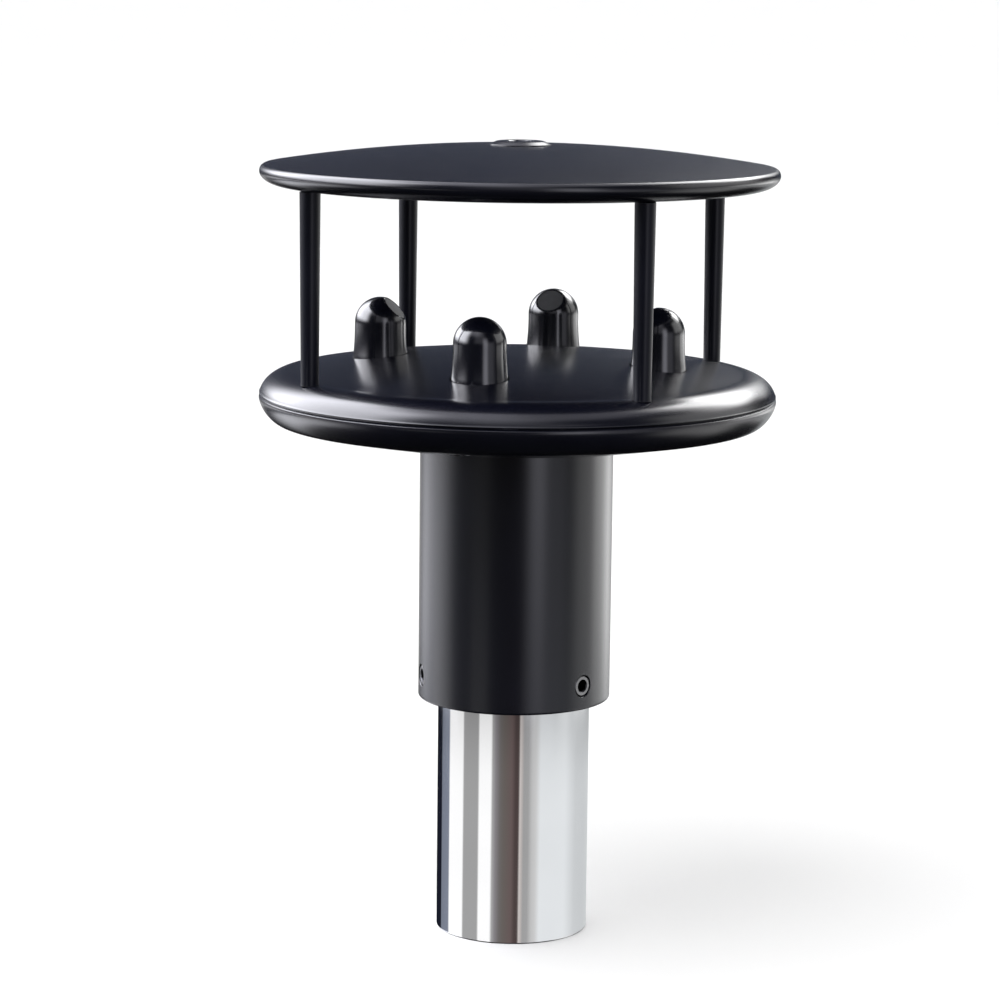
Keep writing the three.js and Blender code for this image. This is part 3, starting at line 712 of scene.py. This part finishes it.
def build_pods():
    for i, angle in enumerate(POD_ANGLES, 1):
        flare = [(POD_R + (POD_FLANGE_R - POD_R) * (1 - t) ** 2.2,
                  POD_SEAT_Z + 0.7 + (POD_CENTRE_Z - POD_SEAT_Z - 1.2) * t)
                 for t in (0, 0.1, 0.2, 0.3, 0.4, 0.5, 0.65, 0.8, 1)]
        stem = rows(POD_STEM_R, POD_STEM_BOTTOM + 0.5, POD_SEAT_Z - 0.5, 56)
        groove_top = POD_SEAT_Z + POD_GROOVE_HEIGHT
        outline = [(0, POD_STEM_BOTTOM), (POD_STEM_R - 0.5, POD_STEM_BOTTOM), *stem,
                   (POD_GROOVE_R, groove_top), (6.6, groove_top), (6.6, POD_SEAT_Z),
                   (POD_FLANGE_R - 0.15, POD_SEAT_Z), (POD_FLANGE_R, POD_SEAT_Z + 0.15),
                   *flare, *bend(0, POD_CENTRE_Z, POD_R, POD_R, 2, 0, 90, 32)]
        outline[-1] = (0, outline[-1][1])
        pod = lathe(f"transducer_pod_{i}_form", outline, 96,
                    thread=(POD_STEM_BOTTOM + 0.4, POD_SEAT_Z - 0.4, 1.0, 0.35))
        paint(pod, POD_BLACK)
        flat = lathe("flat", [(0, POD_FACE), (3.7, POD_FACE), (4.6, POD_FACE - 0.3),
                              (9, POD_FACE + 0.5), (9, 14), (0, 14)], 96)
        pocket = rod("pocket", FACE_R + 0.05, -1, POD_FACE + 0.5, 64)
        bore = rod("bore", POD_BORE_R, POD_STEM_BOTTOM - 1, POD_CENTRE_Z + 0.5, 48)
        carve(pod, [paint(faceward(flat), POD_BLACK), paint(faceward(pocket), POD_BLACK),
                    paint(bore, BARE_EDGE)])
        shift(pod, polar(POD_RADIUS, angle))
        settle(pod, f"transducer_pod_{i}", "head")

        disc_top = POD_FACE - FACE_SINK
        disc_bottom = disc_top - FACE_THICKNESS
        disc = lathe(f"transducer_face_{i}_form", rounded([
            (0, disc_bottom), (FACE_R, disc_bottom, 0.1), (FACE_R, disc_top, 0.15),
            (0, disc_top),
        ], 3), 64)
        shift(faceward(paint(disc, FACE)), polar(POD_RADIUS, angle))
        settle(disc, f"transducer_face_{i}", "head")

        piezo_bottom = disc_bottom - PIEZO_THICKNESS
        piezo = lathe(f"piezo_disc_{i}_form", rounded([
            (0, piezo_bottom), (PIEZO_R, piezo_bottom, 0.15), (PIEZO_R, disc_bottom, 0.15),
            (0, disc_bottom),
        ], 3), 48)
        shift(faceward(paint(piezo, CERAMIC)), polar(POD_RADIUS, angle))
        settle(piezo, f"piezo_disc_{i}", "head")

        nut = prism(f"pod_nut_{i}_form", hexagon(POD_NUT_FLATS), POD_PAD_Z - 3.4, POD_PAD_Z)
        rounding = lathe("rounding", [(0, POD_PAD_Z - 3.5), (6.9, POD_PAD_Z - 3.5),
                                      (8.3, POD_PAD_Z - 2.8), (8.3, POD_PAD_Z + 0.1),
                                      (0, POD_PAD_Z + 0.1)], 64)
        carve(paint(nut, NICKEL), [paint(rounding, NICKEL)], "INTERSECT")
        carve(nut, [paint(rod("bore", 5.12, 150, 157, 48), NICKEL)])
        shift(nut, polar(POD_RADIUS, angle))
        settle(nut, f"pod_nut_{i}", "head")

        ring = o_ring(f"pod_oring_{i}_form", 5.75, 0.5, POD_SEAT_Z + 0.55)
        shift(ring, polar(POD_RADIUS, angle))
        settle(ring, f"pod_oring_{i}", "head")

        lead = wire(f"pod_lead_{i}_form", [
            (-0.7, 0, 169.9), (0.4, 0, 165), (0, 0, 155), (-0.3, 0, 150.6),
            (-2.6, 0, 148.4), (-6.9, 0, 148.2),
        ], 0.7)
        shift(paint(lead, WIRE_RED), polar(POD_RADIUS, angle))
        settle(lead, f"pod_lead_{i}", "head")


# --- Small parts -----------------------------------------------------------------------------
def o_ring(name, radius, section, z):
    turns = [math.radians(t) for t in range(0, 360, 24)]
    circle = [(radius + section * math.cos(t), z + section * math.sin(t)) for t in turns]
    return paint(lathe(name, circle, 128, closed=True), RUBBER)


def wire(name, points, radius):
    """Round wire on a smooth path, as a closed mesh."""
    curve = bpy.data.curves.new(name, "CURVE")
    curve.dimensions = "3D"
    curve.bevel_depth = radius * MM
    curve.bevel_resolution = 4
    curve.use_fill_caps = True
    curve.resolution_u = 10
    spline = curve.splines.new("BEZIER")
    spline.bezier_points.add(len(points) - 1)
    for point, place in zip(spline.bezier_points, points):
        point.co = Vector(place) * MM
        point.handle_left_type = "AUTO"
        point.handle_right_type = "AUTO"
    holder = bpy.data.objects.new("holder", curve)
    scene.collection.objects.link(holder)
    mesh = evaluated_mesh(holder)
    bpy.data.objects.remove(holder)
    body = bpy.data.objects.new(name, mesh)
    scene.collection.objects.link(body)
    return body


def cap_screw(name, shank_r, length, head_r, head_h, pitch):
    """Socket cap screw standing on its head, shank up."""
    shank = rows(shank_r, head_h + 0.3, head_h + length - 0.5, int(length / pitch * 7))
    outline = [(0, 0), (head_r - 0.3, 0), (head_r, 0.3), (head_r, head_h - 0.1),
               (head_r - 0.1, head_h), (shank_r, head_h), *shank,
               (shank_r - 0.4, head_h + length), (0, head_h + length)]
    screw = lathe(name, outline, 48,
                  thread=(head_h + 0.8, head_h + length - 0.4, pitch, pitch * 0.45))
    paint(screw, FASTENER)
    socket = prism("socket", hexagon(head_r * 0.95), -1, head_h * 0.6)
    lead_in = lathe("lead_in", [(0, -0.1), (head_r * 0.6, -0.1), (head_r * 0.48, 0.25),
                                (0, 0.25)], 36)
    return carve(screw, [paint(socket, FASTENER), paint(lead_in, FASTENER)])


def build_screws():
    flip = Matrix.Rotation(math.pi, 4, "X")
    for i, angle in enumerate(POD_ANGLES, 1):
        screw = cap_screw(f"neck_screw_{i}_form", 1.95, 12, 3.5, 4, 0.7)
        shift(shift(screw, flip), polar(NECK_SCREW_RADIUS, angle, FLOOR_Z + 4))
        settle(screw, f"neck_screw_{i}", "head")
        screw = cap_screw(f"shell_screw_{i}_form", 1.45, 9, 2.75, 3, 0.5)
        shift(screw, polar(SHELL_SCREW_RADIUS, angle, low("shell_screw_1").z))
        settle(screw, f"shell_screw_{i}", "head")
    for i, angle in enumerate(POST_ANGLES, 1):
        screw = cap_screw(f"post_screw_{i}_form", 1.45, 11, 2.75, 3, 0.5)
        shift(screw, polar(POST_RADIUS, angle, low("post_screw_1").z))
        settle(screw, f"post_screw_{i}", "head")
    for i, angle in enumerate(BOARD_SCREW_ANGLES, 1):
        screw = cap_screw(f"board_screw_{i}_form", 1.45, 4.8, 2.75, 2.2, 0.5)
        shift(shift(screw, flip), polar(BOARD_SCREW_RADIUS, angle, BOARD_TOP + 2.2))
        settle(screw, f"board_screw_{i}", "head")


def build_seals():
    settle(o_ring("neck_oring_form", 18.55, 0.7, SHELL_BOTTOM + 0.75), "neck_oring", "head")
    settle(o_ring("seam_oring_form", 67.35, 0.6, SEAM_Z - 0.75), "seam_oring", "head")


# --- Electronics -----------------------------------------------------------------------------
def block(width, depth, height, radius, angle):
    """Component standing on the board."""
    w, d = width / 2, depth / 2
    body = prism("block", [(-w, -d), (w, -d), (w, d), (-w, d)], 0, height)
    return shift(body, polar(radius, angle, BOARD_TOP - 0.1))


def build_board():
    board = lathe("main_board_form", rounded([
        (BOARD_INNER_R, BOARD_BOTTOM, 0.1), (BOARD_OUTER_R, BOARD_BOTTOM, 0.1),
        (BOARD_OUTER_R, BOARD_TOP, 0.1), (BOARD_INNER_R, BOARD_TOP, 0.1),
    ], 2), 192, closed=True)
    paint(board, LAMINATE)
    parts = [paint(block(3.4, 6, 2.9, 30.7, a), INSULATOR) for a in POD_ANGLES]
    parts += [
        paint(block(6, 10, 5, 32, 225), INSULATOR),
        paint(block(10, 10, 1.4, 40, 65), CHIP),
        paint(block(6, 5, 1.7, 38, 20), CHIP),
        paint(block(8, 8, 4, 41, 140), CHIP),
        paint(block(5, 4, 1.7, 40, 205), CHIP),
        paint(block(5, 6, 2.2, 44, 245), CHIP),
        paint(block(12, 4, 3.4, 42, 320), CHIP),
    ]
    for angle in (110, 125):
        can = shift(rod("can", 3, BOARD_TOP - 0.1, BOARD_TOP + 5.9, 32), polar(46, angle))
        parts.append(paint(can, SOLDER))
    for step in range(7):
        for side in (-5.7, 5.7):
            leg = prism("leg", [(-0.25, -0.9), (0.25, -0.9), (0.25, 0.9), (-0.25, 0.9)], 0, 0.4)
            shift(leg, Matrix.Translation(Vector((-3.9 + 1.3 * step, side, 0)) * MM))
            parts.append(paint(shift(leg, polar(40, 65, BOARD_TOP - 0.1)), SOLDER))
    for angle in range(8, 360, 24):
        parts.append(paint(block(1.6, 0.8, 0.7, 50, angle), CERAMIC))
        parts.append(paint(block(1.2, 0.6, 0.6, 35, angle + 5), SOLDER))
    carve(board, parts, "UNION")
    carve(board, [paint(shift(rod("hole", 1.7, 144, 148, 32), polar(BOARD_SCREW_RADIUS, a)), GOLD)
                  for a in BOARD_SCREW_ANGLES])
    settle(board, "main_board", "head")


def build_connector():
    bottom, top = CONNECTOR_BOTTOM, CONNECTOR_TOP
    lower_rows = rows(CONNECTOR_R, bottom + 0.6, bottom + 7.4, 40)
    upper_rows = rows(CONNECTOR_R, WEB_BOTTOM + 0.3, top - 0.4, 40)
    outline = [(CONNECTOR_BORE_R, bottom), (8.5, bottom), *lower_rows, (CONNECTOR_R, bottom + 7.8),
               (11.7, bottom + 7.8), (12, bottom + 8.1), (12, WEB_BOTTOM - 0.02),
               (8.8, WEB_BOTTOM - 0.02), *upper_rows, (8.6, top), (CONNECTOR_BORE_R, top)]
    socket = lathe("connector_socket_form", outline, 96, closed=True,
                   thread=(bottom + 0.5, top - 0.3, 1.0, 0.3))
    settle(paint(socket, NICKEL), "connector_socket", "head")

    nut = prism("connector_nut_form", hexagon(CONNECTOR_FLATS), WEB_TOP, WEB_TOP + 3.5)
    paint(nut, NICKEL)
    rounding = lathe("rounding", [(0, WEB_TOP - 0.1), (12.9, WEB_TOP - 0.1), (12.9, WEB_TOP + 2.6),
                                  (10.9, WEB_TOP + 3.6), (0, WEB_TOP + 3.6)], 64)
    carve(nut, [paint(rounding, NICKEL)], "INTERSECT")
    carve(nut, [paint(rod("bore", 9.12, WEB_TOP - 1, WEB_TOP + 5, 64), NICKEL)])
    settle(nut, "connector_nut", "head")

    insert = lathe("connector_insert_form", [(0, 106)] + rounded([
        (0, 106), (7.4, 106, 0.3), (7.4, 119, 0.3), (0, 119),
    ], 3)[1:-1] + [(0, 119)], 64)
    paint(insert, INSULATOR)
    pins = []
    for radius, angle in [(0, 0)] + [(4.6, i * 360 / 7) for i in range(7)]:
        pin = lathe("pin", [(0, 102.5), (0.3, 102.6), (0.5, 103), (0.5, 121.5), (0, 121.5)], 20)
        pins.append(paint(shift(pin, polar(radius, angle)), GOLD))
    carve(insert, pins, "UNION")
    settle(insert, "connector_insert", "head")

    loom = wire("connector_harness_form", [
        (0, 0, 122), (0, 0, 136), (-2.5, -2.5, 146), (-8, -8, 152.2),
        (-15, -15, 154.8), (-21.6, -21.6, 154.8), (-22.6, -22.6, 152.9),
    ], 1.9)
    settle(paint(loom, LOOM), "connector_harness", "head")


build_tube()
build_neck()
build_set_screws()
build_shell()
build_deck()
build_posts()
build_top_plate()
build_plug()
build_pods()
build_screws()
build_seals()
build_board()
build_connector()


# --- Camera ----------------------------------------------------------------------------------
CAMERA_AZIMUTH = math.radians(14.71)
CAMERA_RANGE = 0.9102    # metres
CAMERA_HEIGHT = 0.2716    # metres
AIM_AZIMUTH = math.radians(14.99)
AIM_PITCH = math.radians(-9.397)
CAMERA_ROLL = math.radians(0.646)

CAMERA_SIDE = (math.sin(CAMERA_AZIMUTH), -math.cos(CAMERA_AZIMUTH), 0)
CAMERA_RIGHT = (math.cos(CAMERA_AZIMUTH), math.sin(CAMERA_AZIMUTH), 0)
FOCAL_LENGTH = 119.98
SENSOR_WIDTH = 36

lens = bpy.data.cameras.new("camera")
lens.lens = FOCAL_LENGTH
lens.sensor_width = SENSOR_WIDTH
camera = bpy.data.objects.new("camera", lens)
scene.collection.objects.link(camera)
camera.location = (
    CAMERA_RANGE * math.sin(CAMERA_AZIMUTH),
    -CAMERA_RANGE * math.cos(CAMERA_AZIMUTH),
    CAMERA_HEIGHT,
)
camera.rotation_mode = "QUATERNION"
aim = Vector((
    -math.sin(AIM_AZIMUTH) * math.cos(AIM_PITCH),
    math.cos(AIM_AZIMUTH) * math.cos(AIM_PITCH),
    math.sin(AIM_PITCH),
))
camera.rotation_quaternion = (
    aim.to_track_quat("-Z", "Y") @ Matrix.Rotation(CAMERA_ROLL, 3, "Z").to_quaternion()
)
scene.camera = camera


# --- Floor, lights and studio surroundings ---------------------------------------------------
FLOOR_HALF = 30000
# Degrees away from the camera's side up to which the far surroundings are grey, and from
# which they are white.
GREY_TO = 105
WHITE_FROM = 130


def build_floor():
    signs = ((-1, -1), (1, -1), (1, 1), (-1, 1))
    floor = make_object("floor", [(x * FLOOR_HALF, y * FLOOR_HALF, 0) for x, y in signs],
                        [[0, 1, 2, 3]])
    material, graph, shader, place = new_material("pale_floor")
    # White behind the object as the camera sees it, light grey far out at the other sides.
    bearing = graph.math("ABSOLUTE", graph.math(
        "ARCTAN2", graph.dot(place, CAMERA_RIGHT), graph.dot(place, CAMERA_SIDE)))
    distance = graph.add("ShaderNodeVectorMath", {0: place}, operation="LENGTH").outputs["Value"]
    greyed = graph.math(
        "MULTIPLY", graph.spread(distance, 0.5, 1.0, 0, 1, "SMOOTHSTEP"),
        graph.spread(bearing, math.radians(GREY_TO), math.radians(WHITE_FROM), 1, 0,
                     "SMOOTHSTEP"))
    grain = graph.spread(graph.noise(place, 3, 3), 0.3, 0.7, 0, 0.02)
    tone = graph.mix(greyed, (0.9, 0.9, 0.9, 1), (0.52, 0.52, 0.525, 1))
    graph.feed(shader.inputs["Base Color"], graph.mix(grain, tone, (0.8, 0.8, 0.8, 1)))
    shader.inputs["Roughness"].default_value = 0.9
    shader.inputs["Specular IOR Level"].default_value = 0.1
    paint(floor, material)
    floor.visible_glossy = False
    floor.visible_diffuse = False


def area_light(name, place, target, size, power):
    data = bpy.data.lights.new(name, "AREA")
    data.shape = "DISK"
    data.size = size
    data.energy = power
    lamp = bpy.data.objects.new(name, data)
    scene.collection.objects.link(lamp)
    lamp.location = place
    lamp.rotation_mode = "QUATERNION"
    lamp.rotation_quaternion = (Vector(target) - Vector(place)).to_track_quat("-Z", "Y")
    lamp.visible_glossy = False
    lamp.visible_camera = False


def azimuth_stop(degrees):
    return 0.5 + degrees / 360


LEFT_TINT = (0.95, 0.955, 1.02)
FRONT_TINT = (0.97, 0.97, 1.08)
WARM = (1.05, 0.97, 0.94)
PLAIN = (1.0, 1.0, 1.0)
SLATE = (0.75, 0.9, 1.4)

# Soft boxes that glossy surfaces mirror: azimuth in degrees (0 on the camera's side, + to
# its right), half width and feather, elevation, half height and feather, strength, tint.
SOFT_BOXES = [
    (-103, 26, 32, 33, 18, 17, 9.8, LEFT_TINT),
    (-116, 10, 36, -20, 8, 9, 3.2, LEFT_TINT),
    (147, 14, 12, 38.5, 11.5, 9, 8.0, PLAIN),
    (125, 8, 14, 44, 10, 14, 2.6, PLAIN),
    (158, 6, 8, 18, 4, 7, 1.4, PLAIN),
    (100, 18, 18, 22, 12, 12, 1.4, PLAIN),
    (98, 12, 24, -22, 12, 12, 1.3, PLAIN),
    (128, 14, 14, -10, 6, 8, 1.6, PLAIN),
    (142, 10, 12, -12, 4, 4, 1.2, PLAIN),
    (180, 15, 15, -12, 3, 3, 0.7, PLAIN),
    (180, 24, 12, 12, 12, 10, 0.05, SLATE),
    (0, 180, 1, 90, 26, 18, 1.0, FRONT_TINT),
    (-85, 60, 50, 66, 18, 20, 1.2, FRONT_TINT),
    (25, 3, 13, 6, 8, 22, 1.7, FRONT_TINT),
    (42, 12, 18, -8, 10, 14, 0.5, FRONT_TINT),
    (0, 12, 22, 34, 20, 14, 0.4, FRONT_TINT),
]
SURROUND = 0.012    # light between the soft boxes
STRIP_TOP = 1.4    # brightest value the strips' colour ramp stands for
STRIP_LOW, STRIP_HIGH = -18.9, -12.4    # elevations that only the upright tube mirrors
DIFFUSE_LIGHT = 1.03
GREY_PAPER = 0.66


def build_world():
    """Studio round the object: soft boxes mirrored by gloss, a white dome for the rest."""
    world = bpy.data.worlds.new("studio")
    scene.world = world
    world.use_nodes = True
    graph = Graph(world.node_tree)
    graph.nodes.clear()
    ray = graph.add("ShaderNodeTexCoord").outputs["Generated"]
    up = graph.add("ShaderNodeSeparateXYZ", {0: ray}).outputs["Z"]
    turn = graph.math("ARCTAN2", graph.dot(ray, CAMERA_RIGHT), graph.dot(ray, CAMERA_SIDE))
    azimuth = graph.math("MULTIPLY", turn, 180 / math.pi)
    height = graph.math("MULTIPLY", graph.math("ARCSINE", up), 180 / math.pi)

    colour = None
    for where, half, feather, level, tall, fade, strength, tint in SOFT_BOXES:
        away = graph.add("ShaderNodeMath", {
            0: graph.math("SUBTRACT", azimuth, where), 1: 180.0, 2: -180.0,
        }, operation="WRAP").outputs[0]
        across = graph.spread(graph.math("ABSOLUTE", away), half, half + feather, 1, 0,
                              "SMOOTHSTEP")
        rise = graph.math("ABSOLUTE", graph.math("SUBTRACT", height, level))
        along = graph.spread(rise, tall, tall + fade, 1, 0, "SMOOTHSTEP")
        glow = graph.math("MULTIPLY", across, along)
        light = graph.scaled(tuple(strength * t for t in tint), glow)
        first = (SURROUND,) * 3 if colour is None else colour
        colour = graph.add("ShaderNodeVectorMath", {0: first, 1: light}).outputs["Vector"]

    # Upright strips for the polished tube, by azimuth.
    def shade(value, tint=PLAIN):
        return tuple(value * t / STRIP_TOP for t in tint)

    navy = (0.8, 0.9, 1.6)
    steel_blue = (0.85, 0.95, 1.2)
    cool = (0.95, 0.98, 1.0)
    rose = (1.25, 0.92, 0.9)
    stops = [
        (-180, shade(0.012, navy)), (-139, shade(0.015, navy)),
        (-137, shade(0.26, steel_blue)), (-114, shade(0.3, steel_blue)),
        (-112, shade(1.25)), (-82, shade(1.25)), (-80, shade(0.44)), (-54, shade(0.44)),
        (-52, shade(1.25)), (-33, shade(1.25)), (-31, shade(0.5)),
        (-26, shade(0.3, (1.0, 0.95, 1.0))), (-19, shade(0.17, (1.08, 1.0, 0.98))),
        (-13, shade(0.15, (1.1, 0.97, 0.9))), (-1, shade(0.13, rose)),
        (4, shade(0.075, rose)), (9.5, shade(0.065, rose)), (11, shade(0.72, WARM)),
        (14, shade(0.58, WARM)), (17, shade(0.42)), (24, shade(0.43)), (30, shade(0.64)),
        (36, shade(0.72)), (43, shade(0.98, cool)), (88, shade(0.98, cool)),
        (112, shade(0.76, cool)), (180, shade(0.68, cool)),
    ]
    strips = graph.ramp(graph.spread(turn, -math.pi, math.pi, 0, 1),
                        [(azimuth_stop(degrees), tone) for degrees, tone in stops])
    dimmed = graph.spread(height, -14.2, -12.9, STRIP_TOP, 0.72 * STRIP_TOP, "SMOOTHSTEP")
    strips = graph.scaled(strips, dimmed)
    band = graph.math("MULTIPLY",
                      graph.spread(height, STRIP_LOW, STRIP_LOW + 0.5, 0, 1),
                      graph.spread(height, STRIP_HIGH - 0.4, STRIP_HIGH, 1, 0))
    colour = graph.mix(band, colour, strips)
    mirrored = graph.add("ShaderNodeBackground", {"Color": colour, "Strength": 1.0})
    white = (1, 1, 1, 1)
    plain = graph.add("ShaderNodeBackground", {"Color": white, "Strength": DIFFUSE_LIGHT})
    paper = graph.spread(graph.math("ABSOLUTE", azimuth), GREY_TO, WHITE_FROM, GREY_PAPER, 1,
                         "SMOOTHSTEP")
    backdrop = graph.add("ShaderNodeBackground", {"Color": white, "Strength": paper})
    rays = graph.add("ShaderNodeLightPath")
    choice = graph.add("ShaderNodeMixShader", {0: rays.outputs["Is Glossy Ray"]})
    graph.links.new(plain.outputs[0], choice.inputs[1])
    graph.links.new(mirrored.outputs[0], choice.inputs[2])
    seen = graph.add("ShaderNodeMixShader", {0: rays.outputs["Is Camera Ray"]})
    graph.links.new(choice.outputs[0], seen.inputs[1])
    graph.links.new(backdrop.outputs[0], seen.inputs[2])
    output = graph.add("ShaderNodeOutputWorld")
    graph.links.new(seen.outputs[0], output.inputs["Surface"])


build_floor()
area_light("key", (-0.9, -1.2, 3.0), (0, 0, 0.1), size=2.6, power=45)
build_world()
scene.view_settings.view_transform = "Standard"
